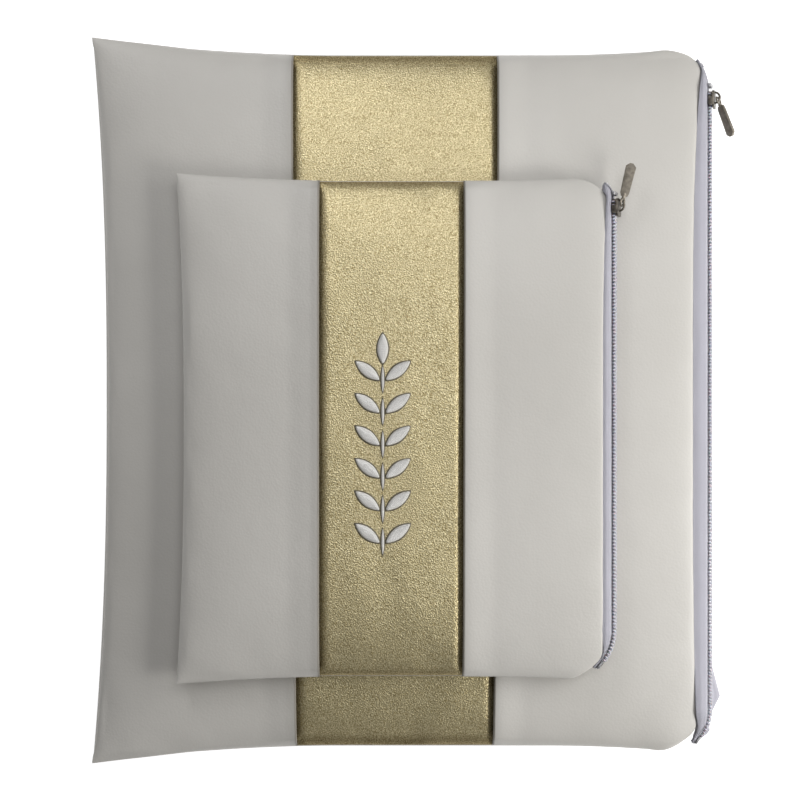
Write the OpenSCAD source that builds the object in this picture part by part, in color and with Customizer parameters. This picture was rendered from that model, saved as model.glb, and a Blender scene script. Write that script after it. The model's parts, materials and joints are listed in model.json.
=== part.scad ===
// A matched set of two flat zipped pouches for devotional articles, lying on their backs.
// The small pouch rests on the large one. +X is the zipped mouth, +Y runs along the zips
// towards their closed ends, +Z is up, and the origin is under the middle of the set.

/* [Large pouch] */
// Width from the folded left side to the mouth edge
large_width = 298; // [260:1:320]
// Half of the length along the zip
large_half_len = 176; // [150:1:190]
// Thickness where it is fullest
large_thick = 22; // [18:0.5:30]

/* [Small pouch] */
// Width from the folded left side to the mouth edge
small_width = 207.5; // [180:0.5:230]
// Half of the length along the zip
small_half_len = 123; // [110:1:135]
// Thickness where it is fullest
small_thick = 17; // [14:0.5:24]
// Shift of the small pouch's middle from the large one's, across
small_shift_x = -2.8; // [-20:0.1:20]
// Shift of the small pouch's middle from the large one's, along the zip
small_shift_y = -14; // [-30:0.5:30]

/* [Leathers] */
// Thickness of the white and the gold leathercloth
leather_t = 1.1; // [0.8:0.1:1.4]
// Width by which each white panel laps over the gold band
lap_w = 6; // [4:0.5:10]
// Left edge of the bare gold, as a share of the half width
band_left = -0.35; // [-0.5:0.01:-0.2]
// Right edge of the bare gold, as a share of the half width
band_right = 0.336; // [0.2:0.001:0.5]

/* [Lining] */
// Thickness of the foam padding
foam_t = 2; // [1:0.1:3]
// Thickness of the woven lining
lining_t = 0.4; // [0.3:0.1:0.6]

/* [Zips] */
// Width of one coil, tape edge to centre line
coil_w = 2.15; // [2:0.05:2.4]
// Thickness of the coils
coil_t = 2; // [1.8:0.1:2.2]
// Lean of the small zip's face above level
small_zip_lean = 20; // [0:1:30]
// Lean of the large zip's face above level
large_zip_lean = 18; // [0:1:30]
// Length of the pull tab's blade
blade_len = 16; // [10:0.5:20]
// Width of the pull tab's blade at its end
blade_w = 5.2; // [5:0.1:7]

/* [Embroidery] */
// Pairs of leaves in the embroidered spray
leaf_pairs = 6; // [3:1:7]
// Spacing of the leaf pairs along the stem
leaf_pitch = 16; // [14:0.5:20]

/* [Hidden] */
PARTS = ["left_panel", "gold_band", "right_panel", "back_panel", "front_padding", "back_padding",
         "front_lining", "back_lining", "front_zip_tape", "back_zip_tape", "front_zip_coil",
         "back_zip_coil", "zip_slider", "zip_pull", "zip_top_stops", "zip_bottom_stop",
         "zip_end_tacks"];

layer_gap = 0.06;          // air between two layers of one wall
set_x = -4.3;             // puts the origin under the middle of the set's box
rest_gap = 0.3;            // air between the large pouch's top and the small pouch's back
seam_half = leather_t + layer_gap;
tape_t = 0.5;
slider_len = 9;
slider_w = 8.4;
plate_t = 1;
plate_in = -0.65;          // inner plate's face, measured out from the tape's middle
plate_out = coil_t + 0.75; // outer plate's face
wire_r = 0.55;             // the slider's bridge
bridge_ring = 2.75;
bridge_y = 1;              // the bridge stands towards the slider's nose
eye_r = 0.5;               // the pull tab's eye
eye_ring = 1.8;
blade_turn = -65;          // the blade is turned from the plane of its eye
pivot_out = plate_out + plate_t + 1.15;
white = [0.86, 0.84, 0.81];
gold = [0.72, 0.61, 0.38];
lilac = [0.88, 0.87, 0.93];
gunmetal = [0.27, 0.25, 0.23];

// One pouch is a list of sizes, read by these names.
LEFT = 0; WIDTH = 1; HALF = 2; MID_Y = 3; BASE = 4; RISE = 5; DROP = 6; FLARE = 7; DIP = 8;
CHAIN_X = 9; CHAIN_Z = 10; LEAN = 11; SLIDER_Y = 12; STRAIGHT_LOW = 13;
MOUTH_OPEN = 14; TAB_RISE = 15; TAB_TWIST = 16; TAB_SIDE = 17; ROUND_FROM = 18; ROUND_BY = 19;
LIP_FLARE = 20; END_FLARE = 21; TURNS = 22; TOP_RUN = 23;
CORNER_DROP = 24;
// ROUND_FROM, ROUND_BY, LIP_FLARE, TURNS and CORNER_DROP hold a value for the low end and one for
// the top end.
// A turn is [its angle, its radius].

large = [-150.5 + set_x, large_width, large_half_len, 0, 0, large_thick - 9 - seam_half, 9 - seam_half,
         7, 8.6, 156.2 + set_x, 10.6, large_zip_lean, 153, -158, 0.62, 20, 20, -1,
         [0.945, 0.945], [7, 8], [3, 6], 3.2, [[38, 20], [38, 24]], 6, [2, 1.1]];
small_base = large_thick + rest_gap;
small = [-105.2 + small_shift_x + set_x, small_width, small_half_len, small_shift_y, small_base,
         small_thick - 7 - seam_half, 7 - seam_half, 3.6, 3.6, 107.6 + small_shift_x + set_x,
         small_base + 8, small_zip_lean, small_shift_y + 109.7, small_shift_y - 100, 0.74,
         14, -15, 1, [0.9, 0.92], [10.5, 9], [0, 3], 1.5, [[38, 24], [60, 7.5]], 5.8, [1.8, 1.5]];

function seam_z(p) = p[BASE] + p[DROP] + seam_half;
function side_fill(u, open) = u < 0 ? sqrt(1 - pow(-u, 3.4)) : open + (1 - open) * sqrt(1 - pow(u, 3.4));
function end_fill(v) = sqrt(1 - pow(abs(v), 5));
function over(x, start) = max(0, (x - start) / (1 - start));

// A point of the front (side 1) or back (side -1) wall, depth mm in from its outer face.
function wall(p, side, u, v, depth) =
    let (fill = side_fill(u, p[MOUTH_OPEN]) * end_fill(v), end = v < 0 ? 0 : 1,
         x = p[LEFT] + (u + 1) / 2 * p[WIDTH] - p[FLARE] * pow(abs(v), 2.4) * pow(over(-u, 0.3), 1.5)
             + (p[LIP_FLARE][end] * pow(abs(v), 4)
                - p[ROUND_BY][end] * pow(over(abs(v), p[ROUND_FROM][end]), 2)) * pow(over(u, 0.4), 2),
         half = p[HALF] + p[DIP] * pow(over(-u, 0.2), 2) + p[END_FLARE] * (pow(over(u, 0.5), 2)
                - p[CORNER_DROP][end] * pow(over(u, 0.9), 2)),
         z = side > 0 ? seam_z(p) + seam_half + p[RISE] * fill - depth
                      : max(p[BASE], seam_z(p) - seam_half - 1.35 * p[DROP] * fill) + depth)
    [x, p[MID_Y] + v * half, z];

lap_u = 2 * lap_w / large_width;
left_cols = [-1, -0.96, -0.9, -0.82, -0.7, -0.54, band_left - lap_u, band_left];
band_cols = [band_left - lap_u, band_left, -0.18, 0, 0.16, band_right, band_right + lap_u];
right_cols = [band_right, band_right + lap_u, 0.52, 0.68, 0.8, 0.88, 0.94, 1];
back_cols = [-1, -0.96, -0.9, -0.82, -0.7, -0.54, -0.36, -0.18, 0, 0.16, 0.34, 0.52, 0.68, 0.8,
             0.88, 0.94, 1];
half_rows = [0.2, 0.4, 0.58, 0.72, 0.82, 0.9, 0.95, 0.985, 1];
rows = concat([for (i = [len(half_rows) - 1 : -1 : 0]) -half_rows[i]], [0], half_rows);
band_rows = [for (v = rows) if (abs(v) < 0.99) v];  // the band's ends stop short of the seams
inner_rows = [for (v = rows) if (abs(v) < 0.91) v];
front_cols = concat(left_cols, [-0.18, 0, 0.16], right_cols);
front_inner_cols = [for (u = front_cols) if (u > -0.91 && u < 0.95) u];
back_inner_cols = [for (u = back_cols) if (u > -0.91 && u < 0.95) u];

// Closed solid between two grids of points with the same rows and columns.
module grid_solid(top, bottom) {
    nv = len(top); nu = len(top[0]); n = nu * nv;
    points = concat([for (row = top) each row], [for (row = bottom) each row]);
    function at(j, i) = j * nu + i;
    up = [for (j = [0 : nv - 2], i = [0 : nu - 2])
          each [[at(j, i), at(j + 1, i), at(j + 1, i + 1)], [at(j, i), at(j + 1, i + 1), at(j, i + 1)]]];
    down = [for (f = up) [f[2] + n, f[1] + n, f[0] + n]];
    loop = concat([for (i = [0 : nu - 1]) at(0, i)], [for (j = [1 : nv - 1]) at(j, nu - 1)],
                  [for (i = [nu - 2 : -1 : 0]) at(nv - 1, i)], [for (j = [nv - 2 : -1 : 1]) at(j, 0)]);
    rim = [for (k = [0 : len(loop) - 1]) let (a = loop[k], b = loop[(k + 1) % len(loop)])
           each [[a, b, b + n], [a, b + n, a + n]]];
    polyhedron(points, concat(up, down, rim));
}

// A layer of one wall, from depth mm to depth + thick mm inside its outer face.
module layer(p, side, cols, lines, depth, thick) {
    outer = [for (v = lines) [for (u = cols) wall(p, side, u, v, depth)]];
    inner = [for (v = lines) [for (u = cols) wall(p, side, u, v, depth + thick)]];
    if (side > 0) grid_solid(outer, inner); else grid_solid(inner, outer);
}

band_depth = leather_t + layer_gap;
front_foam_depth = 2 * band_depth;
back_foam_depth = band_depth;

module left_panel(p) color(white) layer(p, 1, left_cols, rows, 0, leather_t);
module right_panel(p) color(white) layer(p, 1, right_cols, rows, 0, leather_t);
module gold_band(p) color(gold) layer(p, 1, band_cols, band_rows, band_depth, leather_t);
module back_panel(p) color(white) layer(p, -1, back_cols, rows, 0, leather_t);
module front_padding(p) color("lightyellow")
    layer(p, 1, front_inner_cols, inner_rows, front_foam_depth, foam_t);
module back_padding(p) color("lightyellow")
    layer(p, -1, back_inner_cols, inner_rows, back_foam_depth, foam_t);
module front_lining(p) color("gainsboro")
    layer(p, 1, front_inner_cols, inner_rows, front_foam_depth + foam_t + layer_gap, lining_t);
module back_lining(p) color("gainsboro")
    layer(p, -1, back_inner_cols, inner_rows, back_foam_depth + foam_t + layer_gap, lining_t);

// The zip's line in plan: a straight run with both ends turned in towards the corners.
// Each station is [x, y, angle of the outward direction].
turn_steps = 4;
stop_len = 4.6;
stop_run = stop_len + 0.9;
function zip_top(p) = p[SLIDER_Y] + p[TOP_RUN];
function turn(p, end, i) =
    let (side = end == 0 ? -1 : 1, a = p[TURNS][end][0] * i / turn_steps, r = p[TURNS][end][1])
    [p[CHAIN_X] + r * (cos(a) - 1), (end == 0 ? p[STRAIGHT_LOW] : zip_top(p)) + side * r * sin(a), side * a];
function low_end(p) = let (s = turn(p, 0, turn_steps))
    [s[0] + stop_run * sin(s[2]), s[1] - stop_run * cos(s[2]), s[2]];
function coil_line(p) = concat(
    [for (i = [turn_steps : -1 : 1]) turn(p, 0, i)],
    [for (i = [0 : 8]) [p[CHAIN_X], p[STRAIGHT_LOW] + (p[SLIDER_Y] - 2 - p[STRAIGHT_LOW]) * i / 8, 0]],
    [for (i = [0 : 3]) [p[CHAIN_X], p[SLIDER_Y] - 1 + (p[TOP_RUN] + 1) * i / 3, 0]]);
function zip_line(p) = concat([low_end(p)], coil_line(p), [for (i = [1 : turn_steps]) turn(p, 1, i)]);

// A point of the zip, out mm outward and up mm across its leaning face.
function on_zip(p, s, out, up) =
    let (n = out * cos(p[LEAN]) - up * sin(p[LEAN]), z = out * sin(p[LEAN]) + up * cos(p[LEAN]))
    [s[0] + n * cos(s[2]), s[1] + n * sin(s[2]), p[CHAIN_Z] + z];

// Solid through a list of rings that all have the same number of points.
module swept(rings) {
    k = len(rings[0]); last = (len(rings) - 1) * k;
    sides = [for (r = [0 : len(rings) - 2], i = [0 : k - 1])
             let (a = r * k + i, b = r * k + (i + 1) % k)
             each [[a, a + k, b + k], [a, b + k, b]]];
    caps = concat([for (i = [1 : k - 2]) [0, i, i + 1]],
                  [for (i = [1 : k - 2]) [last, last + i + 1, last + i]]);
    polyhedron([for (r = rings) each r], concat(sides, caps));
}

// Half of the zip's tape: flat behind the coil, then bent back to the mouth edge of its wall.
tape_edge = 1.45;
tape_flat = 5.2;
function tape_ring(p, side, s) =
    let (v = (s[1] - p[MID_Y]) / p[HALF], e = wall(p, side, 1, max(-0.95, min(0.95, v)), leather_t / 2),
         shrink = abs(s[2]) / p[TURNS][s[2] < 0 ? 0 : 1][0], h = tape_flat - 3.3 * shrink, t = tape_t / 2,
         a = side * tape_edge, b = side * h, gap = 0.6 + shrink,
         corner = on_zip(p, s, -t, b), corner_out = on_zip(p, s, t, b + side * 2 * t),
         lean_in = max(0, side * h * sin(p[LEAN])) + t + 0.5,
         back_by = max(lean_in, (s[0] - e[0] - gap) * cos(s[2])),
         root = [s[0] - back_by * cos(s[2]), s[1] - back_by * sin(s[2]), p[CHAIN_Z] + side * (h + 0.4)],
         ring = [on_zip(p, s, -t, a), on_zip(p, s, t, a), corner_out,
                 [root[0], root[1], root[2] + side * t], [root[0], root[1], root[2] - side * t], corner])
    side > 0 ? [for (i = [5 : -1 : 0]) ring[i]] : ring;
module zip_tape(p, side) color(lilac) swept([for (s = zip_line(p)) tape_ring(p, side, s)]);

// Half of the zip's coils as one bar. Past the slider's nose the two halves stand apart.
coil_out = tape_t / 2 + 0.05;
parted = 1.25;
function coil_ring(p, side, s) =
    let (open = s[1] > p[SLIDER_Y] + 1 ? parted : 0.05, low = side * open, high = side * (open + coil_w),
         c = side * 0.45,
         ring = [on_zip(p, s, coil_out, low + c), on_zip(p, s, coil_out + 0.45, low),
                 on_zip(p, s, coil_out + coil_t - 0.45, low), on_zip(p, s, coil_out + coil_t, low + c),
                 on_zip(p, s, coil_out + coil_t, high - c), on_zip(p, s, coil_out + coil_t - 0.45, high),
                 on_zip(p, s, coil_out + 0.45, high), on_zip(p, s, coil_out, high - c)])
    side > 0 ? [for (i = [7 : -1 : 0]) ring[i]] : ring;
module zip_coil(p, side) color("white") swept([for (s = coil_line(p)) coil_ring(p, side, s)]);

// Places its children on the zip: X outward, Y along the zip, Z across its face.
module at_zip(p, x, y, turn) translate([x, y, p[CHAIN_Z]]) rotate([0, 0, turn]) rotate([0, -p[LEAN], 0])
    children();
module at_slider(p) at_zip(p, p[CHAIN_X], p[SLIDER_Y], 0) children();

module plate(from, thick, w) {
    r = 2;
    translate([from, 0, 0]) rotate([0, 90, 0]) linear_extrude(thick) hull()
        for (a = [-1, 1], b = [-1, 1]) translate([a * (w / 2 - r), b * (slider_len / 2 - r)])
            circle(r, $fn = 32);
}

module zip_slider(p) color(gunmetal) at_slider(p) {
    union() {
        plate(plate_in - plate_t, plate_t, slider_w);
        plate(plate_out, plate_t, slider_w);
        // The wedge that parts the coils
        translate([plate_in - 0.1, 1.8, -1.1]) cube([plate_out - plate_in + 0.2, 2.4, 2.2]);
        // Side flanges that hold the coils together
        for (side = [-1, 1]) translate([0.9, -slider_len / 2 + 1.5, side * (slider_w / 2 - 0.4) - 0.4])
            cube([plate_out - 0.8, 4, 0.8]);
        // The bridge that carries the pull tab
        translate([plate_out + plate_t - 0.3, bridge_y, 0]) rotate([0, 0, -90])
            rotate_extrude(angle = 180, $fn = 48) translate([bridge_ring, 0]) circle(wire_r, $fn = 24);
    }
}

// Pull tab at rest: the eye's bar lies on the pivot, the blade points along the zip and outward.
module zip_pull(p) color(gunmetal) at_slider(p) translate([pivot_out, bridge_y, 0])
    rotate([0, 0, p[TAB_SIDE] > 0 ? -p[TAB_RISE] : p[TAB_RISE] - 180]) rotate([0, p[TAB_TWIST], 0]) {
        blade_start = 2 * eye_ring + 1.6;
        w = blade_w; l = blade_start + blade_len;
        union() {
            translate([0, eye_ring, 0]) rotate([0, 90, 0])
                rotate_extrude($fn = 48) translate([eye_ring, 0]) circle(eye_r, $fn = 24);
            translate([0, 2 * eye_ring, 0]) rotate([-90, 0, 0])
                cylinder(blade_start - 2 * eye_ring + 1, r = 0.95, $fn = 24);
            translate([0, 0, -0.9]) cylinder(1.8, r = eye_r + 0.05, $fn = 24);
            rotate([0, blade_turn - 90, 0]) linear_extrude(1.3, center = true)
                polygon([[-1.6, blade_start - 0.6], [1.6, blade_start - 0.6], [w / 2 - 0.4, blade_start + 1],
                         [w / 2, l - 1.6], [w / 2 - 1.8, l], [1.8 - w / 2, l], [-w / 2, l - 1.6],
                         [0.4 - w / 2, blade_start + 1]]);
        }
    }

module zip_top_stops(p) color("silver") at_slider(p) for (side = [-1, 1])
    translate([coil_out + 0.1, p[TOP_RUN] + 0.2, side * (parted + 1.1) - 1.25]) cube([1.9, 2, 2.5]);

module zip_bottom_stop(p) color("silver") {
    s = turn(p, 0, turn_steps);
    at_zip(p, s[0], s[1], s[2]) translate([coil_out, -stop_len - 0.2, -1.5]) cube([1.5, stop_len, 3]);
}

// Stitches that close the zip's two ends, over the tapes.
module zip_end_tacks(p) color("white") {
    top = turn(p, 1, turn_steps - 1);
    low = low_end(p);
    at_zip(p, low[0], low[1], low[2]) for (x = [0.46, 0.82])
        translate([x, 0.35, -1.5]) cylinder(3, r = 0.16, $fn = 16);
    at_zip(p, top[0], top[1], top[2]) for (i = [0 : 2]) translate([0.6, (i - 1) * 0.8, -1.8])
        cylinder(3.6, r = 0.3, $fn = 16);
}

// A pointed leaf of satin stitches, lying along +X from its stalk.
leaf_len = 15;
leaf_w = 5.4;
module leaf() {
    r = (pow(leaf_len / 2, 2) + pow(leaf_w / 2, 2)) / leaf_w;
    translate([leaf_len / 2, 0]) intersection_for (side = [-1, 1])
        translate([0, side * (r - leaf_w / 2)]) circle(r, $fn = 96);
}

// Embroidered spray on the small pouch's gold band: a stem with pairs of leaves and an end leaf.
stitch_t = 0.9;
module embroidery(p) {
    spray_x = -9 + set_x;
    spray_low = p[MID_Y] - 64;
    function skin_z(y) = wall(p, 1, 0, (y - p[MID_Y]) / p[HALF], band_depth)[2] + 0.05;
    end_y = spray_low + leaf_pairs * leaf_pitch;
    color("whitesmoke") {
        for (i = [0 : leaf_pairs - 1]) let (y = spray_low + 8 + i * leaf_pitch)
            translate([spray_x, y, skin_z(y)]) linear_extrude(stitch_t) {
                for (side = [0, 1]) mirror([side, 0]) translate([1.6, 0]) rotate(38) leaf();
                translate([-0.8, -6]) square([1.6, leaf_pitch - 4]);
            }
        translate([spray_x, end_y, skin_z(end_y)]) linear_extrude(stitch_t) rotate(90) leaf();
    }
}

module pouch_part(p, part) {
    if (part == "left_panel") left_panel(p);
    if (part == "gold_band") gold_band(p);
    if (part == "right_panel") right_panel(p);
    if (part == "back_panel") back_panel(p);
    if (part == "front_padding") front_padding(p);
    if (part == "back_padding") back_padding(p);
    if (part == "front_lining") front_lining(p);
    if (part == "back_lining") back_lining(p);
    if (part == "front_zip_tape") zip_tape(p, 1);
    if (part == "back_zip_tape") zip_tape(p, -1);
    if (part == "front_zip_coil") zip_coil(p, 1);
    if (part == "back_zip_coil") zip_coil(p, -1);
    if (part == "zip_slider") zip_slider(p);
    if (part == "zip_pull") zip_pull(p);
    if (part == "zip_top_stops") zip_top_stops(p);
    if (part == "zip_bottom_stop") zip_bottom_stop(p);
    if (part == "zip_end_tacks") zip_end_tacks(p);
}

for (part = PARTS) pouch_part(large, part);
for (part = PARTS) pouch_part(small, part);
embroidery(small);  // small_embroidery
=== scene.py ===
"""Looks of a matched set of two zipped leathercloth pouches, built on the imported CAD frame."""
import json
import math

import bmesh
import bpy
from mathutils import Matrix, Vector, noise


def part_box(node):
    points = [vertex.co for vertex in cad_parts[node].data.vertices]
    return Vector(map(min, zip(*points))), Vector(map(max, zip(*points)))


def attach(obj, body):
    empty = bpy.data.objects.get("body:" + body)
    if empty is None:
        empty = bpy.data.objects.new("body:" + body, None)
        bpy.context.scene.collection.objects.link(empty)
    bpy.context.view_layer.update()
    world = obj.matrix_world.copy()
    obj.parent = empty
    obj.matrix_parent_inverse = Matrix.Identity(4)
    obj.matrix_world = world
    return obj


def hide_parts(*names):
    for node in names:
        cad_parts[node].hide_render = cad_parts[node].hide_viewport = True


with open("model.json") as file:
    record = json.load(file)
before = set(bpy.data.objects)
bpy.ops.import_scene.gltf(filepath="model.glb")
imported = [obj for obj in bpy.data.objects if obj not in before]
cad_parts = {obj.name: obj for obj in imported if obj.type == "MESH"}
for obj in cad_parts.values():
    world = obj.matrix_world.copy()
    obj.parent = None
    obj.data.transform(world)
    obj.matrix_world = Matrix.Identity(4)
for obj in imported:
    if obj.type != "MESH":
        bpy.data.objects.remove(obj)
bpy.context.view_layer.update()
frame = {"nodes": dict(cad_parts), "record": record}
MM = 0.001
JOINTS = {joint["name"]: joint for joint in frame["record"]["behaviour"]["joints"]}


# ---------------------------------------------------------------- finishes

class Finish:
    """A procedural material: a shader with named sockets, and the nodes that feed it."""

    def __init__(self, name, colour, roughness, **sockets):
        self.mat = bpy.data.materials.new(name)
        self.mat.use_nodes = True
        self.mat.diffuse_color = (*colour, 1)
        self.nodes, self.links = self.mat.node_tree.nodes, self.mat.node_tree.links
        self.shader = self.nodes["Principled BSDF"]
        self.set(self.shader, **{"Base Color": (*colour, 1), "Roughness": roughness}, **sockets)
        self.height = None

    def set(self, node, **values):
        for socket, value in values.items():
            node.inputs[socket.replace("_", " ")].default_value = value

    def add(self, kind, settings=None, **values):
        node = self.nodes.new(kind)
        for key, value in (settings or {}).items():
            setattr(node, key, value)
        self.set(node, **values)
        return node

    def place(self, stretch=(1, 1, 1), turn=(0, 0, 0), source="Object"):
        """Coordinates for a pattern, stretched and turned."""
        coords = self.add("ShaderNodeTexCoord")
        mapping = self.add("ShaderNodeMapping", Scale=stretch, Rotation=turn)
        self.links.new(coords.outputs[source], mapping.inputs["Vector"])
        return mapping.outputs["Vector"]

    def noise(self, scale, detail=3, where=None, **values):
        node = self.add("ShaderNodeTexNoise", Scale=scale, Detail=detail, **values)
        self.links.new(where or self.place(), node.inputs["Vector"])
        return node.outputs["Fac"]

    def cells(self, scale, feature="F1", where=None, **values):
        node = self.add("ShaderNodeTexVoronoi", {"feature": feature}, Scale=scale, **values)
        self.links.new(where or self.place(), node.inputs["Vector"])
        return node.outputs["Distance"]

    def waves(self, scale, direction="X", where=None, distortion=0.0):
        node = self.add("ShaderNodeTexWave", {"bands_direction": direction}, Scale=scale,
                        Distortion=distortion)
        self.links.new(where or self.place(), node.inputs["Vector"])
        return node.outputs["Fac"]

    def ramp(self, value, low, high, start=0.0, end=1.0):
        """Maps a value onto a blend of two colours, or of two greys given as numbers."""
        node = self.add("ShaderNodeValToRGB")
        for stop, tone, where in zip(node.color_ramp.elements, (low, high), (start, end)):
            stop.color = (*tone, 1) if isinstance(tone, tuple) else (tone, tone, tone, 1)
            stop.position = where
        self.links.new(value, node.inputs["Fac"])
        return node.outputs["Color"]

    def attribute(self, name):
        """A value kept on the mesh."""
        return self.add("ShaderNodeAttribute", {"attribute_name": name}).outputs["Fac"]

    def times(self, one, other):
        node = self.add("ShaderNodeMix", {"data_type": "RGBA", "blend_type": "MULTIPLY"}, Factor=1.0)
        self.links.new(one, node.inputs["A"])
        self.links.new(other, node.inputs["B"])
        return node.outputs["Result"]

    def feed(self, socket, value):
        self.links.new(value, self.shader.inputs[socket])

    def bump(self, value, depth, strength=1.0):
        """Adds one layer of relief, depth in millimetres, over those before it."""
        node = self.add("ShaderNodeBump", Strength=strength, Distance=depth * MM)
        self.links.new(value, node.inputs["Height"])
        if self.height:
            self.links.new(self.height, node.inputs["Normal"])
        self.height = node.outputs["Normal"]
        self.links.new(self.height, self.shader.inputs["Normal"])


def white_leathercloth():
    finish = Finish("white_leathercloth", (0.51, 0.495, 0.465), 0.45, Specular_IOR_Level=0.42)
    cloth = finish.ramp(finish.noise(9, 4), (0.49, 0.475, 0.445), (0.535, 0.52, 0.49), 0.3, 0.7)
    # Painted shade: a value kept on the mesh darkens the base colour on the folds and beside them, down to
    # this grey.
    painted_shade = finish.ramp(finish.attribute("painted_shade"), (1.0, 1.0, 1.0), (0.40, 0.385, 0.36))
    finish.feed("Base Color", finish.times(cloth, painted_shade))
    finish.feed("Roughness", finish.ramp(finish.noise(600, 2), 0.40, 0.54, 0.3, 0.7))
    finish.bump(finish.noise(38, 2), 1.0, 0.5)
    finish.bump(finish.cells(820, "SMOOTH_F1", Smoothness=0.35), 0.10, 0.55)
    finish.bump(finish.noise(2200, 2), 0.03, 0.5)
    return finish.mat


def gold_leathercloth():
    finish = Finish("gold_leathercloth", (0.52, 0.43, 0.25), 0.40, Metallic=0.80, Specular_IOR_Level=0.5)
    grain = finish.ramp(finish.noise(1700, 3), (0.36, 0.285, 0.135), (0.84, 0.745, 0.47), 0.36, 0.66)
    # Painted shade: a value kept on the mesh darkens the gold beside the folds and at the band's ends, down
    # to this tone.
    painted_shade = finish.ramp(finish.attribute("painted_shade"), (1.0, 1.0, 1.0), (0.42, 0.38, 0.30))
    finish.feed("Base Color", finish.times(grain, painted_shade))
    finish.feed("Roughness", finish.ramp(finish.noise(2300, 2), 0.34, 0.52, 0.35, 0.65))
    finish.bump(finish.noise(45, 2), 1.0, 0.5)
    finish.bump(finish.cells(1350, "SMOOTH_F1", Smoothness=0.3), 0.17, 1.0)
    finish.bump(finish.noise(3200, 3), 0.05, 0.9)
    return finish.mat


def woven(name, colour, pitch, depth, **sockets):
    """A plain weave with threads pitch mm apart, on the piece's own UV map in millimetres."""
    finish = Finish(name, colour, 0.75, **sockets)
    where = finish.place(source="UV")
    warp = finish.waves(1 / pitch, "DIAGONAL", where, 0.4)
    weft = finish.waves(1 / pitch, "DIAGONAL", finish.place(turn=(0, 0, math.pi / 2), source="UV"), 0.4)
    finish.feed("Base Color", finish.ramp(warp, tuple(c * 0.88 for c in colour), colour, 0.2, 0.8))
    finish.bump(warp, depth)
    finish.bump(weft, depth)
    return finish.mat


def cloth_in_place(name, colour, threads):
    """A woven cloth for carried-over pieces, on Object coordinates, threads per metre."""
    finish = Finish(name, colour, 0.7, Sheen_Weight=0.3)
    warp, weft = finish.waves(threads, "X"), finish.waves(threads, "Y")
    dull = tuple(c * 0.9 for c in colour)
    finish.feed("Base Color", finish.ramp(finish.noise(60), dull, colour, 0.3, 0.7))
    finish.bump(warp, 0.06)
    finish.bump(weft, 0.06)
    return finish.mat


def foam():
    finish = Finish("foam", (0.82, 0.78, 0.62), 0.9)
    finish.bump(finish.cells(1400), 0.3)
    pores = finish.ramp(finish.cells(1400), (0.6, 0.56, 0.42), (0.85, 0.81, 0.66), 0.0, 0.5)
    finish.feed("Base Color", pores)
    return finish.mat


def coil_nylon():
    finish = Finish("coil_nylon", (0.50, 0.50, 0.56), 0.34, Specular_IOR_Level=0.5, Subsurface_Weight=0.15,
                    Subsurface_Scale=0.001)
    finish.feed("Roughness", finish.ramp(finish.noise(900), 0.26, 0.42, 0.3, 0.7))
    finish.bump(finish.noise(2500, 1), 0.02)
    return finish.mat


def thread(name, colour, roughness=0.5):
    finish = Finish(name, colour, roughness, Sheen_Weight=0.3)
    twist = finish.waves(2400, "DIAGONAL", distortion=0.5)
    finish.feed("Base Color", finish.ramp(twist, tuple(c * 0.8 for c in colour), colour, 0.1, 0.7))
    finish.bump(twist, 0.04)
    return finish.mat


def satin_stitch():
    """Silver-white thread laid side by side across each leaf, along the V of its UV map."""
    finish = Finish("satin_stitch", (0.72, 0.71, 0.69), 0.34, Specular_IOR_Level=0.6, Anisotropic=0.5,
                    Sheen_Weight=0.2)
    where = finish.place(source="UV")
    strands = finish.waves(0.9, "X", where, 0.6)
    finish.feed("Base Color", finish.ramp(strands, (0.50, 0.49, 0.47), (0.80, 0.79, 0.77), 0.15, 0.75))
    finish.bump(strands, 0.10)
    return finish.mat


def painted_shadow_outline():
    # Painted shadow: the dark rim round each raised leaf stands for the shade at its edges and its line of
    # needle holes.
    finish = Finish("painted_shadow_outline", (0.10, 0.085, 0.055), 0.6, Sheen_Weight=0.2)
    tones = finish.ramp(finish.noise(1500, 2), (0.06, 0.05, 0.03), (0.16, 0.14, 0.09), 0.3, 0.7)
    finish.feed("Base Color", tones)
    finish.bump(finish.noise(1800, 2), 0.04)
    return finish.mat


def dark_plated_metal():
    finish = Finish("dark_plated_metal", (0.15, 0.135, 0.115), 0.36, Metallic=0.9)
    tones = finish.ramp(finish.noise(420, 5), (0.07, 0.062, 0.052), (0.24, 0.215, 0.18), 0.3, 0.7)
    finish.feed("Base Color", tones)
    finish.feed("Roughness", finish.ramp(finish.noise(1200, 4), 0.28, 0.5, 0.3, 0.7))
    finish.bump(finish.noise(1600, 4), 0.03)
    return finish.mat


def pull_metal():
    finish = Finish("pull_metal", (0.24, 0.215, 0.175), 0.46, Metallic=0.75)
    tones = finish.ramp(finish.noise(500, 5), (0.17, 0.15, 0.12), (0.30, 0.27, 0.225), 0.3, 0.7)
    finish.feed("Base Color", tones)
    finish.feed("Roughness", finish.ramp(finish.noise(1500, 3), 0.38, 0.56, 0.3, 0.7))
    finish.bump(finish.waves(1500, "Y", distortion=3), 0.015)
    return finish.mat


def bright_metal():
    finish = Finish("bright_metal", (0.36, 0.36, 0.37), 0.34, Metallic=1.0)
    finish.feed("Roughness", finish.ramp(finish.noise(900, 3), 0.22, 0.42, 0.3, 0.7))
    finish.bump(finish.noise(1800, 2), 0.03)
    return finish.mat


def pale_floor():
    """A white light table."""
    finish = Finish("pale_floor", (0.6, 0.6, 0.6), 0.8, Specular_IOR_Level=0.2, Emission_Color=(1, 1, 1, 1),
                    Emission_Strength=0.75)
    finish.bump(finish.noise(300, 2), 0.02, 0.3)
    return finish.mat


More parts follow.
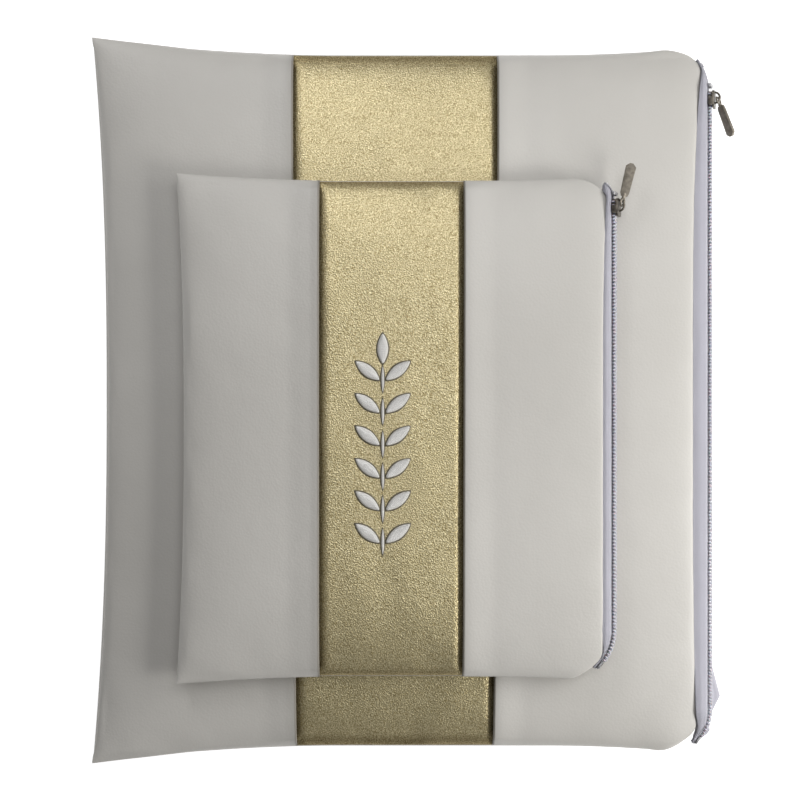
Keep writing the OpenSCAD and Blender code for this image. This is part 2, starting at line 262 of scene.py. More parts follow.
FINISHES = {
    "white_leathercloth": white_leathercloth(),
    "gold_leathercloth": gold_leathercloth(),
    "foam": foam(),
    "lining_cloth": cloth_in_place("lining_cloth", (0.66, 0.65, 0.65), 900),
    "zip_tape": woven("zip_tape", (0.50, 0.495, 0.56), 0.9, 0.10, Sheen_Weight=0.2),
    "zip_coil": coil_nylon(),
    "dark_metal": dark_plated_metal(),
    "pull_metal": pull_metal(),
    "stop_metal": bright_metal(),
    "sewing_thread": thread("sewing_thread", (0.56, 0.555, 0.60)),
    "embroidery_thread": satin_stitch(),
    "painted_shadow_outline": painted_shadow_outline(),
}


# ---------------------------------------------------------------- making pieces

def piece(name, bm, slot, body, *nodes, finish=None, smooth=True):
    """Turns a bmesh into a piece that rides on a body and stands for CAD nodes."""
    mesh = bpy.data.meshes.new(name)
    bm.to_mesh(mesh)
    bm.free()
    mesh.materials.append(FINISHES[finish or slot])
    mesh.polygons.foreach_set("use_smooth", [smooth] * len(mesh.polygons))
    obj = bpy.data.objects.new(name, mesh)
    bpy.context.collection.objects.link(obj)
    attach(obj, body)
    if nodes:
        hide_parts(*nodes)
    return obj


def softened(node, slot, body, width, finish=None):
    """A copy of a hard CAD piece with its edges rounded, in its place."""
    bm = bmesh.new()
    bm.from_mesh(frame["nodes"][node].data)
    bmesh.ops.remove_doubles(bm, verts=bm.verts, dist=1e-6)
    bmesh.ops.dissolve_limit(bm, angle_limit=math.radians(2), verts=bm.verts, edges=bm.edges)
    obj = piece(node + "_piece", bm, slot, body, node, finish=finish)
    bevel = obj.modifiers.new("rounding", "BEVEL")
    bevel.width, bevel.segments, bevel.limit_method, bevel.angle_limit = width, 3, "ANGLE", math.radians(35)
    bevel.harden_normals = True
    return obj


def lerp(a, b, t):
    return a + (b - a) * t


def within(x, limit):
    """x, kept between -limit and limit."""
    return max(-limit, min(limit, x))


def over(x, start):
    """How far x is past start, as a share of the way from start to 1."""
    return max(0.0, (x - start) / (1 - start))


def smooth_step(x):
    """Rises softly from 0 at 0 to 1 at 1."""
    x = min(1.0, max(0.0, x))
    return x * x * (3 - 2 * x)


def grid(us, vs, place):
    """A piece through place(u, v) at each pair of values, with a UV map in millimetres of its cut.

    place gives the outer point, the inner point behind it, or None for an open sheet, and the UV."""
    bm = bmesh.new()
    spot, uv = bm.verts.layers.int.new("spot"), bm.loops.layers.uv.new("cut")
    cells = bmesh.ops.create_grid(bm, x_segments=len(us) - 1, y_segments=len(vs) - 1, size=1)
    order = sorted(cells["verts"], key=lambda v: (round(v.co.y, 6), round(v.co.x, 6)))
    points = [place(us[i % len(us)], vs[i // len(us)]) for i in range(len(order))]
    for index, vert in enumerate(order):
        vert[spot] = index
    outer = set(order)
    if points[0][1] is not None:
        bmesh.ops.extrude_face_region(bm, geom=bm.faces[:], use_keep_orig=True)
    for vert in bm.verts:
        vert.co = points[vert[spot]][0 if vert in outer else 1]
    for face in bm.faces:
        for loop in face.loops:
            loop[uv].uv = points[loop.vert[spot]][2]
    if points[0][1] is not None:
        bmesh.ops.recalc_face_normals(bm, faces=bm.faces)
    return bm


# ---------------------------------------------------------------- the pouches' shape

# u runs across a pouch, from -1 at its left edge to 1 at its mouth, and v along it, from -1 to 1.
LEATHER = 1.1 * MM              # thickness of the leathercloth
SEAM_HALF = 1.16 * MM           # half the thickness left at the seams
LINING_GAP = 0.05 * MM          # the panels' inner faces stay this far from the seam's level
TUCK_RUN = 150 * MM             # how far in a point tucks for each 1 of u or v past the edge
TUCK_DEPTH = 1.2 * MM           # a tuck is down at the seam's level after this
BACK_SWELL = 1.35               # the back swells this much more than its drop, then lies flat
BAND_EDGES = (-0.35, 0.336)     # the u of the two folds beside the gold band
BAND_ENDS = 0.985               # the v at which the CAD band ends
PIVOT_OUT = 4.9 * MM            # the pull tab's pivot from the zip's line, out of its face
BRIDGE_Y = 1.0 * MM             # and along it


class Pouch:
    """The shape of one pouch, worked out from its CAD nodes."""

    def __init__(self, name, flare, dip, mouth_open, lean, low_y, top_run, turns, round_from, round_by,
                 lip_flare, lip_peak, end_flare, corner_drop, seed):
        """Pairs hold one value for the low end, at -Y, and one for the top end."""
        left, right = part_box(name + "_left_panel"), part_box(name + "_right_panel")
        back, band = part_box(name + "_back_panel"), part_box(name + "_gold_band")
        self.name, self.body, self.seed = name, name + "_pouch", seed
        self.flare, self.dip, self.open = flare * MM, dip * MM, mouth_open
        self.round_from, self.round_by, self.lip_flare = round_from, round_by, lip_flare
        self.end_flare, self.corner_drop = end_flare * MM, corner_drop
        self.left = left[0][0] + self.flare
        self.width = right[1][0] - lip_peak * MM - self.left
        self.mid_y = (band[0][1] + band[1][1]) / 2
        self.half = (band[1][1] - band[0][1]) / 2 / BAND_ENDS
        self.base = back[0][2]
        self.seam = left[0][2] - 0.06 * MM
        self.rise = band[1][2] - self.seam
        self.drop = self.seam - SEAM_HALF - self.base
        pivot = JOINTS[name + "_tab_pivot"]["pos_m"]
        self.lean = math.radians(lean)
        self.chain = Vector((pivot[0] - PIVOT_OUT * math.cos(self.lean), pivot[1] - BRIDGE_Y,
                             pivot[2] - PIVOT_OUT * math.sin(self.lean)))
        self.turns = [(math.radians(angle), radius * MM) for angle, radius in turns]
        self.low_y, self.top_y = low_y * MM, self.chain.y + top_run * MM

    def fill(self, u, v):
        """How plump the pouch is here, from 0 at a seam to 1. It stays partly open at the mouth."""
        side = math.sqrt(max(0, 1 - abs(u) ** 3.4))
        side = side if u < 0 else lerp(self.open, 1, side)
        return side * math.sqrt(max(0, 1 - abs(v) ** 5))

    def plan(self, u, v):
        """Place in plan, with the left corners drawn out, the ends dished and the mouth's corners rounded."""
        x = self.left + (u + 1) / 2 * self.width
        x -= self.flare * abs(v) ** 2.4 * over(-u, 0.3) ** 1.5
        end = 0 if v < 0 else 1
        lip = self.lip_flare[end] * abs(v) ** 4 - self.round_by[end] * over(abs(v), self.round_from[end]) ** 2
        x += lip * MM * over(u, 0.4) ** 2
        half = self.half + self.dip * over(-u, 0.2) ** 2
        half += self.end_flare * (over(u, 0.5) ** 2 - self.corner_drop[end] * over(u, 0.9) ** 2)
        return x, self.mid_y + v * half

    def skin(self, side, u, v):
        """A point of the outer face. Past the edges, where |u| or |v| is over 1, it tucks into the seam."""
        uc, vc = within(u, 1), within(v, 1)
        x, y = self.plan(uc, vc)
        tuck_u, tuck_v = max(0, -1 - u) * TUCK_RUN, max(0, abs(v) - 1) * TUCK_RUN
        fill = self.fill(uc, vc)
        if side > 0:
            z = self.seam + SEAM_HALF + self.rise * fill
        else:
            z = max(self.base, self.seam - SEAM_HALF - BACK_SWELL * self.drop * fill)
        tuck = min(1, (tuck_u + tuck_v) / TUCK_DEPTH)
        z = lerp(z, self.seam + side * 0.08 * MM, math.sin(tuck * math.pi / 2) if tuck < 1 else 1)
        z += side * self.relief(side, uc, vc, x, y)
        return Vector((x + tuck_u, y - math.copysign(tuck_v, v), z))

    def lining_side(self, side, u, v, thickness):
        """The point behind skin(u, v), on the leathercloth's inner face."""
        inset_u, inset_v = 1 - 1.6 * MM / self.width, 1 - 1.0 * MM / self.half
        point = self.skin(side, within(u, inset_u), within(v, inset_v))
        point.z -= side * thickness
        level = self.seam + side * LINING_GAP
        point.z = max(point.z, level) if side > 0 else min(point.z, level)
        return point

    def front_floor(self, *points):
        """Keeps points of the front above the seam's level."""
        for point in points:
            point.z = max(point.z, self.seam + LINING_GAP)

    def relief(self, side, u, v, x, y):
        """Soft unevenness of the stuffed leathercloth, with puckers that fade away from the seams."""
        edge = min(1 - abs(v), (1 + u) * 0.9) * self.half
        at_mouth = (1 - u) * self.width / 2
        spot = Vector((x * 9, y * 9, self.seed))
        waves = noise.noise(spot) * 0.8 + noise.noise(spot * 2.3) * 0.35
        seam_pucker = noise.noise(Vector((x * 42, y * 42, self.seed + 5))) * math.exp(-edge / (13 * MM))
        mouth_pucker = noise.noise(Vector((x * 12, y * 55, self.seed + 9))) * math.exp(-at_mouth / (12 * MM))
        fade = smooth_step(edge / (5 * MM))
        if side < 0:
            return min(0.0, 0.25 * waves) * fade * MM
        return (0.75 * waves + 0.9 * seam_pucker * (0.3 + 0.7 * fade) + 0.6 * mouth_pucker) * fade * MM


POUCHES = [
    Pouch("large", flare=7, dip=8.6, mouth_open=0.62, lean=18, low_y=-158, top_run=6,
          turns=[(38, 20), (38, 24)], round_from=(0.945, 0.945), round_by=(7, 8), lip_flare=(3, 6),
          lip_peak=4.821, end_flare=3.2, corner_drop=(2, 1.1), seed=3.0),
    Pouch("small", flare=3.6, dip=3.6, mouth_open=0.74, lean=20, low_y=-114, top_run=5.8,
          turns=[(38, 24), (60, 7.5)], round_from=(0.9, 0.92), round_by=(10.5, 9), lip_flare=(0, 3),
          lip_peak=1.968, end_flare=1.5, corner_drop=(1.8, 1.5), seed=11.0),
]


def eased(start, end, count, ease_start=1.0, ease_end=1.0):
    """Values from start to end that crowd towards the eased ends."""
    values = []
    for i in range(count + 1):
        t = i / count
        t = t ** ease_start if ease_end == 1 else 1 - (1 - t) ** ease_end
        values.append(lerp(start, end, t))
    return values


TUCK = [1.0088, 1.0072, 1.005, 1.0028, 1.001]
ENDS = [math.sin(math.pi / 2 * i / 80) for i in range(-80, 81)]
VS = [-t for t in TUCK] + ENDS + TUCK[::-1]
FOLD_R = 1.25 * MM              # outer radius of a panel's folded edge
FOLD_BACK = 7 * MM              # how far the folded edge runs back under the panel
FOLD_LIFT = 1.35 * MM           # a fold's rise over the gold, which starts FOLD_NEAR away
FOLD_NEAR = 16 * MM
FOLD_CREST = 0.4 * MM           # what the left fold rises besides, close to its edge
# Painted shade beside the folds: how strong it is on each panel, and how far it reaches from the fold.
FOLD_SHADE = {"left": 0.34, "right": 0.12}      # how grey a panel turns beside its fold
SHADE_REACH = 3.6 * MM
END_FADE = 5 * MM               # folds flatten out this close to the ends
BAND_SHOWN = {"large": 0.984, "small": 0.996}   # the band's length beside the white panels'
BAND_LAP = 6 * MM               # what the gold runs on under a fold

# How far each fold, left then right, is off square at its low and top end, in mm.
EDGE_DRIFT = {"large": ((-0.2, -2.0), (-0.8, 1.4)), "small": ((-0.9, -0.9), (1.0, 1.6))}


def band_edge(pouch, index, v):
    """The u of a fold, left 0 or right 1."""
    low, high = EDGE_DRIFT[pouch.name][index]
    return BAND_EDGES[index] + lerp(low, high, (v + 1) / 2) * MM / (pouch.width / 2)


def front_rim(pouch, u, v):
    """How far the front stays inside the back's outline: in from the left edge, and in from an end."""
    from_left = 1.1 * MM * smooth_step((-u - 0.7) / 0.3) * (1 - smooth_step((abs(v) - 0.94) / 0.05))
    from_end = 0.9 * MM * smooth_step((u + 0.86) / 0.3) * (1 - smooth_step((u - 0.8) / 0.15))
    return from_left, -math.copysign(from_end * smooth_step((abs(v) - 0.9) / 0.1), v)


def panel(pouch, side_name):
    """A white front panel. Its inner edge is folded under, over the gold band."""
    edge, toward = (0, 1) if side_name == "left" else (1, -1)
    edge_u = BAND_EDGES[edge]
    turn = [i / 10 for i in range(1, 11)]
    back = [1 + i / 4 for i in range(1, 5)]
    if side_name == "left":
        flat = [-t for t in TUCK] + eased(-1, edge_u, 60, ease_start=1.7)
    else:
        flat = eased(1, edge_u, 60, ease_start=1.35)
    columns = [("flat", u) for u in flat] + [("fold", t) for t in turn + back]

    def place(index, v):
        kind, t = columns[index]
        u = t if kind == "flat" else edge_u
        near = 1 - abs(u - edge_u) * pouch.width / 2 / FOLD_NEAR
        drift = band_edge(pouch, edge, within(v, 1)) - edge_u
        u += drift * max(0.0, min(1.0, (1 + toward * u) / (1 + toward * edge_u)))
        point = pouch.skin(1, u, v)
        full = smooth_step((1.0 - abs(v)) * pouch.half / END_FADE)
        squeeze = lerp(1, 0.3 + 0.7 * full, smooth_step(near))
        behind = pouch.lining_side(1, u, v, LEATHER * squeeze)
        if pouch.name == "large":
            inward = Vector((*front_rim(pouch, u, v), 0))
            point, behind = point + inward, behind + inward
        lift = FOLD_LIFT * smooth_step(near) * full
        if side_name == "left":
            lift += FOLD_CREST * over(near, 0.72) ** 1.5 * full
        point.z += lift
        behind.z += lift
        if kind == "fold":
            turned, returned = min(1, t) * math.pi, max(0, t - 1) * FOLD_BACK
            inner_r = FOLD_R - LEATHER
            top = point.z
            behind.x, behind.y = point.x, lerp(behind.y, point.y, full)
            point.z = top - FOLD_R * squeeze * (1 - math.cos(turned))
            behind.z = top - squeeze * (FOLD_R - inner_r * math.cos(turned))
            behind.x += toward * (inner_r * math.sin(turned) - returned)
            point.x += toward * (FOLD_R * max(0.0, math.sin(turned)) ** 0.6 - returned)
            pouch.front_floor(point, behind)
        return point, behind, (point.x / MM, point.y / MM)

    bm = grid(list(range(len(columns))), VS, place)
    # Painted shade, kept on the mesh: full on the folded edge, fading out beside the fold over SHADE_REACH.
    painted_shade, spot = bm.verts.layers.float.new("painted_shade"), bm.verts.layers.int["spot"]
    for vert in bm.verts:
        kind, t = columns[vert[spot] % len(columns)]
        if kind == "fold":
            vert[painted_shade] = 1.0
        else:
            to_fold = abs(t - edge_u) * pouch.width / 2
            vert[painted_shade] = FOLD_SHADE[side_name] * max(0.0, 1 - to_fold / SHADE_REACH)
    obj = piece(f"{pouch.name}_{side_name}_skin", bm, "white_leathercloth", pouch.body,
                f"{pouch.name}_{side_name}_panel")
    return obj


def band(pouch):
    """The gold band, crowned between the two folds and dipping under them."""
    lap = BAND_LAP / (pouch.width / 2)
    shares = [i / 70 for i in range(71)]

    def place(share, v):
        low, high = (band_edge(pouch, i, within(v, 1)) for i in (0, 1))
        u = lerp(low - lap, high + lap, share)
        point, behind = pouch.skin(1, u, v), pouch.lining_side(1, u, v, LEATHER)
        point.y = pouch.mid_y + (point.y - pouch.mid_y) * BAND_SHOWN[pouch.name]
        to_left, to_right = (u - low) * pouch.width / 2, (high - u) * pouch.width / 2
        dip = 1.9 * (1 - smooth_step(to_left / (5.5 * MM))) + 2.2 * (1 - smooth_step(to_right / (5 * MM)))
        spot = Vector((point.x * 25, point.y * 11, pouch.seed + 20))
        edge = (1 - abs(v)) * pouch.half
        creases = abs(noise.noise(spot)) * 0.6 + noise.noise(spot * 2.7) * 0.25
        creases += max(0, noise.noise(spot * 1.9)) * 2.2 * math.exp(-edge / (9 * MM))
        inside = smooth_step(edge / (6 * MM))
        sunk = (-0.7 - dip * inside - creases * inside) * MM
        point.z, behind.z = point.z + sunk, behind.z + sunk
        pouch.front_floor(point, behind)
        return point, behind, (point.x / MM, point.y / MM)

    bm = grid(shares, VS, place)
    # Painted shade, kept on the mesh: full at the folds and fading out over 5 mm from them; at the band's
    # ends at least three quarters, fading out over 6 mm.
    painted_shade = bm.verts.layers.float.new("painted_shade")
    reach = pouch.half * BAND_SHOWN[pouch.name]
    for vert in bm.verts:
        v = (vert.co.y - pouch.mid_y) / pouch.half
        edges = [pouch.left + (band_edge(pouch, i, v) + 1) / 2 * pouch.width for i in (0, 1)]
        to_fold = min(vert.co.x - edges[0], edges[1] - vert.co.x)
        to_end = reach - abs(vert.co.y - pouch.mid_y)
        from_end = lerp(0.25, 1, smooth_step(to_end / (6 * MM)))
        vert[painted_shade] = 1 - min(smooth_step(to_fold / (5 * MM)), from_end)
    obj = piece(f"{pouch.name}_gold_skin", bm, "gold_leathercloth", pouch.body, f"{pouch.name}_gold_band")
    return obj


def back(pouch):
    """The plain white back."""
    us = [-t for t in TUCK] + eased(-1, 0, 50, ease_start=1.7) + eased(0, 1, 45, ease_end=1.5)[1:]

    def place(u, v):
        point = pouch.skin(-1, u, v)
        return point, pouch.lining_side(-1, u, v, LEATHER), (point.x / MM, point.y / MM)

    bm = grid(us, VS, place)
    obj = piece(f"{pouch.name}_back_skin", bm, "white_leathercloth", pouch.body, f"{pouch.name}_back_panel")
    return obj


FOAM_CLEAR = 4.6 * MM           # the foam starts this far behind the leathercloth


def padding(pouch):
    """The foam behind the front panels, low enough to stay clear of the grooves in the gold."""
    us = [lerp(-0.96, 0.96, i / 48) for i in range(49)]
    vs = [lerp(-0.965, 0.965, i / 60) for i in range(61)]
    floor_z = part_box(pouch.name + "_front_padding")[0][2]

    def place(u, v):
        point = pouch.skin(1, u, v)
        point.z = max(floor_z + 0.25 * MM, point.z - LEATHER - FOAM_CLEAR)
        return point, Vector((point.x, point.y, floor_z)), (point.x / MM, point.y / MM)

    obj = piece(f"{pouch.name}_front_foam", grid(us, vs, place), "foam", pouch.body,
                f"{pouch.name}_front_padding")
    return obj


# ---------------------------------------------------------------- the zips

COIL_OUT = 0.3 * MM             # the coil's back, in front of the middle of the tape
COIL_T = 2 * MM                 # its thickness
COIL_PART = 1.3 * MM            # how far each coil stands off above the slider
TEETH_PITCH = 1.7 * MM
STOP_RUN = 5.5 * MM             # straight end of the tapes past the low turn
STITCH_PITCH = 2.6 * MM
STITCH_ROWS = [(COIL_OUT + COIL_T - 0.17 * MM, 1.25 * MM), (0.33 * MM, 3.15 * MM)]  # out, and across
SLIDER_REACH = 7 * MM           # no stitches this close to the slider's place at rest


class ZipLine:
    """The zip's line in plan, by distance from its lower end, with both ends turned in."""

    def __init__(self, pouch, high=1.0, run=0.0):
        """high is the share of the top turn that is used, and run is a straight end past the low turn."""
        self.pouch, self.run = pouch, run
        (self.low_turn, self.low_r), (self.high_turn, self.high_r) = pouch.turns
        self.straight_from = run + self.low_r * self.low_turn
        self.straight_to = self.straight_from + pouch.top_y - pouch.low_y
        self.length = self.straight_to + self.high_r * self.high_turn * high

    def at(self, s):
        """Place and outward angle at distance s."""
        x, past = self.pouch.chain.x, s - self.straight_to
        if past > 0:
            a = past / self.high_r
            return x + self.high_r * (math.cos(a) - 1), self.pouch.top_y + self.high_r * math.sin(a), a
        if s >= self.straight_from:
            return x, self.pouch.low_y + s - self.straight_from, 0.0
        a = -min(self.low_turn, (self.straight_from - s) / self.low_r)
        back = max(0.0, self.run - s)
        return (x + self.low_r * (math.cos(a) - 1) + back * math.sin(a),
                self.pouch.low_y + self.low_r * math.sin(a) - back * math.cos(a), a)

    def matrix(self, s):
        """Local frame of the zip: X out of its face, Y along it, Z across it."""
        x, y, a = self.at(s)
        place = Matrix.Translation((x, y, self.pouch.chain.z))
        return place @ Matrix.Rotation(a, 4, "Z") @ Matrix.Rotation(-self.pouch.lean, 4, "Y")


def tooth_mesh(side):
    """One turn of coil: a long ring across the tape, its head at the middle of the chain."""
    bm = bmesh.new()
    ring = bmesh.ops.create_circle(bm, segments=6, radius=0.40 * MM)
    bmesh.ops.translate(bm, verts=ring["verts"], vec=(0.58 * MM, 0, 0))
    bmesh.ops.rotate(bm, verts=bm.verts, cent=(0, 0, 0), matrix=Matrix.Rotation(math.pi / 2, 3, "X"))
    bmesh.ops.spin(bm, geom=bm.verts[:] + bm.edges[:], cent=(0, 0, 0), axis=(0, 0, 1),
                   angle=math.tau, steps=12, use_merge=True)
    bmesh.ops.remove_doubles(bm, verts=bm.verts, dist=1e-6)
    for vert in bm.verts:
        x, y, z = vert.co
        across = y + math.copysign(0.72 * MM, y)
        vert.co = (COIL_OUT + 1.0 * MM + x, z + across * 0.10 * side, side * (0.95 * MM + across))
    bmesh.ops.recalc_face_normals(bm, faces=bm.faces)
    mesh = bpy.data.meshes.new("tooth")
    bm.to_mesh(mesh)
    bm.free()
    return mesh


def repeated(mesh, matrices):
    """One bmesh that holds a copy of mesh at each matrix."""
    bm = bmesh.new()
    for matrix in matrices:
        start = len(bm.verts)
        bm.from_mesh(mesh)
        bm.verts.ensure_lookup_table()
        bmesh.ops.transform(bm, matrix=matrix, verts=bm.verts[start:])
    bpy.data.meshes.remove(mesh)
    return bm


def coil(pouch, side, side_name):
    line = ZipLine(pouch, high=0)
    count = int((line.length - 1.2 * MM) / TEETH_PITCH)
    wedge_y = pouch.chain.y + 1.5 * MM
    matrices = []
    for i in range(count):
        s = (i + (0.5 if side < 0 else 0)) * TEETH_PITCH + 0.5 * MM
        parted = COIL_PART * smooth_step((line.at(s)[1] - wedge_y) / (2 * MM) + 0.5)
        matrices.append(line.matrix(s) @ Matrix.Translation((0, 0, side * parted)))
    bm = repeated(tooth_mesh(side), matrices)
    return piece(f"{pouch.name}_{side_name}_coil_turns", bm, "zip_coil", pouch.body,
                 f"{pouch.name}_{side_name}_zip_coil")


def stitch_mesh(length, radius):
    """One stitch of thread along Y, fat in the middle and sunk at its ends."""
    bm = bmesh.new()
    bmesh.ops.create_uvsphere(bm, u_segments=6, v_segments=6, radius=radius)
    bmesh.ops.rotate(bm, verts=bm.verts, cent=(0, 0, 0), matrix=Matrix.Rotation(math.pi / 2, 3, "X"))
    bmesh.ops.scale(bm, verts=bm.verts, vec=(1, length / 2 / radius, 1))
    mesh = bpy.data.meshes.new("stitch")
    bm.to_mesh(mesh)
    bm.free()
    return mesh


def coil_stitching(pouch):
    """Rows of stitches that hold the coils to the tapes, over the turns and along the tapes' edges."""
    line = ZipLine(pouch, high=0)
    matrices = []
    for i in range(int(line.length / STITCH_PITCH)):
        s = (i + 0.5) * STITCH_PITCH
        if abs(line.at(s)[1] - pouch.chain.y) < SLIDER_REACH:
            continue
        for out, across in STITCH_ROWS:
            for side in (-1, 1):
                matrices.append(line.matrix(s) @ Matrix.Translation((out, 0, side * across)))
    bm = repeated(stitch_mesh(2.5 * MM, 0.22 * MM), matrices)
    return piece(f"{pouch.name}_coil_stitching", bm, "sewing_thread", pouch.body)


TAPE_FLAT = 5.2 * MM            # the tape's flat part behind the coil
TAPE_NARROWED = 3.3 * MM        # what the zip's turned-in ends take off that
SLACK_UPPER = (-151.5 * MM, 13 * MM, 26 * MM, 8.1 * MM)     # place, reach below and above it, bulge
SLACK_LOWER = (-169 * MM, 8 * MM, 5.13 * MM)                # place, reach, bulge


def slack_tape(y):
    """How far the large pouch's back tape hangs out past its coil, near the zip's lower end."""
    at, below, above, bulge = SLACK_UPPER
    upper = max(0.0, 1 - abs(y - at) / (below if y < at else above))
    low_at, reach, low_bulge = SLACK_LOWER
    lower = max(0.0, 1 - abs(y - low_at) / reach)
    return bulge * upper ** 1.2 + low_bulge * lower


def tape(pouch, side, side_name):
    """Woven tape: flat behind the coil, then bent back to the folded mouth edge of its wall."""
    line = ZipLine(pouch, run=STOP_RUN)
    rows = [line.length * i / 180 for i in range(181)]
    across = [i / 14 for i in range(15)]

    def place(t, s):
        x, y, a = line.at(s)
        shrink = abs(a) / pouch.turns[0 if a < 0 else 1][0]
        flat = TAPE_FLAT - TAPE_NARROWED * shrink
        matrix = line.matrix(s)
        edge_v = within((y - pouch.mid_y) / pouch.half, 0.97)
        corner = matrix @ Vector((0, 0, side * flat))
        lip = pouch.skin(side, 1, edge_v)
        leaned = max(0, side * flat * math.sin(pouch.lean))
        back_by = max(leaned + 0.75 * MM, (x - lip.x + 0.2 * MM) * math.cos(a))
        root = Vector((x - back_by * math.cos(a), y - back_by * math.sin(a),
                       pouch.chain.z + side * (flat + 0.3 * MM)))
        start = matrix @ Vector((0, 0, side * 1.45 * MM))
        if t < 0.4:
            point = start.lerp(corner, t / 0.4)
        else:
            bend = smooth_step((t - 0.4) / 0.6)
            point = corner.lerp(root, (t - 0.4) / 0.6)
            point.z += side * 0.5 * MM * math.sin(math.pi * bend)
        point.z += noise.noise(Vector((x * 90, y * 70, t * 2 + pouch.seed))) * 0.25 * MM * t
        if side < 0 and pouch.name == "large":
            point.x += slack_tape(y) * math.sin(math.pi * max(0.0, (t - 0.3) / 0.7)) ** 0.5
        return point, None, (t * 9, s / MM)

    bm = grid(across, rows, place)
    obj = piece(f"{pouch.name}_{side_name}_tape", bm, "zip_tape", pouch.body,
                f"{pouch.name}_{side_name}_zip_tape")
    wall = obj.modifiers.new("thickness", "SOLIDIFY")
    wall.thickness, wall.offset = 0.45 * MM, 0
    return obj


def zip_hardware(pouch):
    name = pouch.name
    softened(name + "_zip_slider", "dark_metal", name + "_slider", 0.25 * MM)
    softened(name + "_zip_pull", "dark_metal", name + "_tab", 0.22 * MM, finish="pull_metal")
    softened(name + "_zip_top_stops", "stop_metal", pouch.body, 0.35 * MM)
    softened(name + "_zip_bottom_stop", "stop_metal", pouch.body, 0.45 * MM)
    softened(name + "_zip_end_tacks", "sewing_thread", pouch.body, 0.1 * MM)


# ---------------------------------------------------------------- the embroidery

LEAF_LEN = 15 * MM
LEAF_W = 5.8 * MM
# width of the dark rim of painted shadow round each leaf
OUTLINE = 0.55 * MM
STEM_W = 1.6 * MM


def leaf(along, length, width, height):
    """A domed satin-stitch leaf along +X, pointed at both ends, its threads laid across it."""
    steps, ribs = 54, 10

    def place(t, k):
        half = width / 2 * max(0.02, math.sin(math.pi * t)) ** 0.75
        strand = 0.06 * MM * math.cos(math.tau * t * length / (0.55 * MM))
        y = half * k
        z = height * math.sqrt(max(0.0, 1 - k * k)) * min(1, 4 * math.sin(math.pi * t) + 0.2)
        z += strand * (1 - k * k)
        return Vector((t * length, y, z)), Vector((t * length, y, z - 0.4 * MM)), (t * length / MM, y / MM)

    bm = grid([i / steps for i in range(steps + 1)], [lerp(-1, 1, i / ribs) for i in range(ribs + 1)], place)
    bmesh.ops.transform(bm, matrix=along, verts=bm.verts)
    return bm


def joined(parts):
    """Puts several bmeshes into one, with their UV maps."""
    whole = bmesh.new()
    for part in parts:
        mesh = bpy.data.meshes.new("part")
        part.to_mesh(mesh)
        part.free()
        whole.from_mesh(mesh)
        bpy.data.meshes.remove(mesh)
    return whole


def embroidery(pouch, gold_skin):
    """A spray of leaf pairs on a stem, on the gold band."""
    low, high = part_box("small_embroidery")
    mid_x = (low[0] + high[0]) / 2
    pairs, pitch = 6, 16 * MM
    start_y = pouch.mid_y - 64 * MM + 8 * MM

    def on_band(x, y):
        """Height of the gold band's face at a place in plan."""
        hit, point, _, _ = gold_skin.ray_cast(Vector((x, y, 0.2)), Vector((0, 0, -1)))
        return point.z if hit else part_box("small_gold_band")[1][2]

    parts, painted_shadow_rims = [], []

    def stitched(place, length, width, height):
        """One leaf, over a flat dark one that shows all round it as painted shadow."""
        parts.append(leaf(place, length, width, height))
        wider = place @ Matrix.Translation((-1.5 * OUTLINE, 0, 0))
        painted_shadow_rims.append(leaf(wider, length + 3 * OUTLINE, width + 2 * OUTLINE, 0.45 * MM))

    for i in range(pairs):
        y = start_y + i * pitch
        for side in (-1, 1):
            turn = math.radians(38) if side > 0 else math.radians(142)
            place = Matrix.Translation((mid_x + side * STEM_W, y, on_band(mid_x + side * 7 * MM, y + 5 * MM)))
            stitched(place @ Matrix.Rotation(turn, 4, "Z"), LEAF_LEN, LEAF_W, 1.1 * MM)
        place = Matrix.Translation((mid_x, y - 6 * MM, on_band(mid_x, y)))
        stitched(place @ Matrix.Rotation(math.pi / 2, 4, "Z"), pitch - 3 * MM, STEM_W, 0.8 * MM)
    top_y = start_y + pairs * pitch - 8 * MM
    place = Matrix.Translation((mid_x, top_y, on_band(mid_x, top_y + 7 * MM)))
    stitched(place @ Matrix.Rotation(math.pi / 2, 4, "Z"), LEAF_LEN, LEAF_W, 1.1 * MM)
    # The dark rims round the leaves are painted shadow.
    piece("small_leaf_outlines", joined(painted_shadow_rims), "embroidery_thread", pouch.body, finish="painted_shadow_outline")
    return piece("small_leaf_spray", joined(parts), "embroidery_thread", pouch.body, "small_embroidery")


# ---------------------------------------------------------------- putting it together

for pouch in POUCHES:
    panel(pouch, "left")
    panel(pouch, "right")
    gold = band(pouch)
    back(pouch)
    padding(pouch)
    for side, side_name in ((1, "front"), (-1, "back")):
        coil(pouch, side, side_name)
        tape(pouch, side, side_name)
    coil_stitching(pouch)
    zip_hardware(pouch)

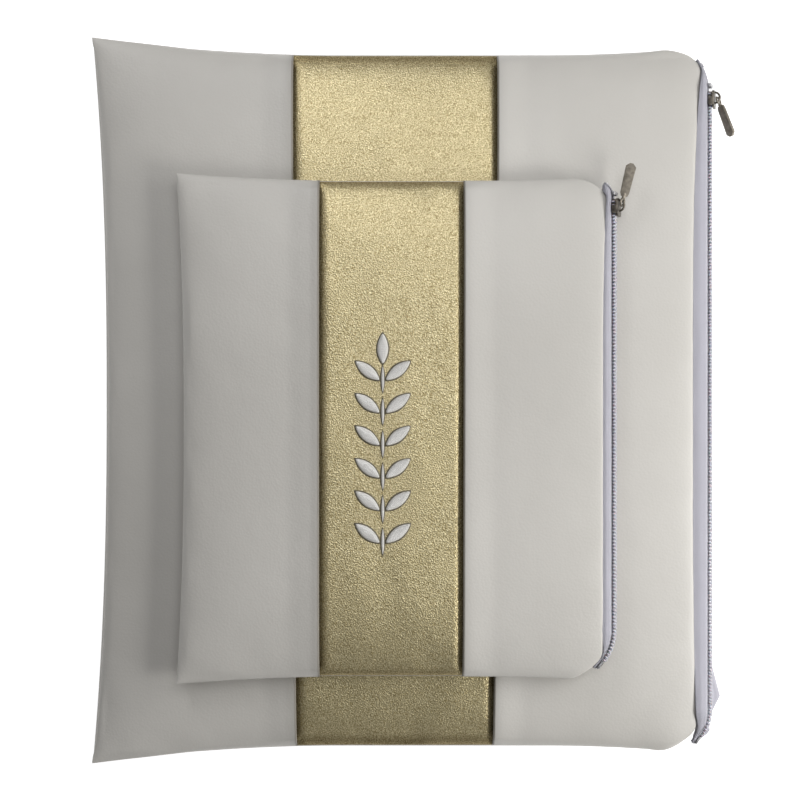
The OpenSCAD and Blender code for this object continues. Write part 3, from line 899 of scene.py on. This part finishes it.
bpy.context.view_layer.update()
embroidery(POUCHES[1], gold)

for name, obj in frame["nodes"].items():
    slot = next(s["material_slot"] for s in frame["record"]["subparts"] if s["node"] == name)
    obj.data.materials.clear()
    obj.data.materials.append(FINISHES[slot])


# ---------------------------------------------------------------- stage, light and camera

def floor():
    bm = bmesh.new()
    bmesh.ops.create_grid(bm, x_segments=2, y_segments=2, size=3)
    mesh = bpy.data.meshes.new("floor")
    bm.to_mesh(mesh)
    bm.free()
    mesh.materials.append(pale_floor())
    obj = bpy.data.objects.new("floor", mesh)
    bpy.context.collection.objects.link(obj)


def area_light(name, place, target, size, power, colour=(1, 1, 1)):
    light = bpy.data.lights.new(name, "AREA")
    light.shape, light.size, light.energy, light.color = "SQUARE", size, power, colour
    obj = bpy.data.objects.new(name, light)
    obj.location = place
    obj.rotation_euler = (Vector(target) - Vector(place)).to_track_quat("-Z", "Y").to_euler()
    bpy.context.collection.objects.link(obj)


floor()
area_light("upper_window", (0.66, 0.20, 0.42), (0.02, 0.02, 0), 0.36, 2.1, (1.0, 0.99, 0.97))
area_light("lower_window", (0.66, -0.25, 0.45), (0.05, -0.05, 0), 0.36, 4.4, (1.0, 0.99, 0.97))
area_light("ceiling", (0.15, 0.45, 1.3), (0.05, 0.05, 0), 0.8, 5.0, (0.99, 0.99, 1.0))
area_light("far_lamp", (-0.35, 0.62, 0.6), (-0.12, 0.12, 0), 0.3, 1.8, (0.99, 0.99, 1.0))
world = bpy.data.worlds.new("studio")
world.use_nodes = True
world.node_tree.nodes["Background"].inputs["Color"].default_value = (1, 1, 1, 1)
world.node_tree.nodes["Background"].inputs["Strength"].default_value = 0.12
scene = bpy.context.scene
scene.world = world
scene.view_settings.view_transform = "Standard"

camera_data = bpy.data.cameras.new("camera")
camera_data.lens, camera_data.sensor_width = 70.6, 36
camera = bpy.data.objects.new("camera", camera_data)
camera.location = (-4.8 * MM, 0.2 * MM, 0.81)
bpy.context.collection.objects.link(camera)
scene.camera = camera
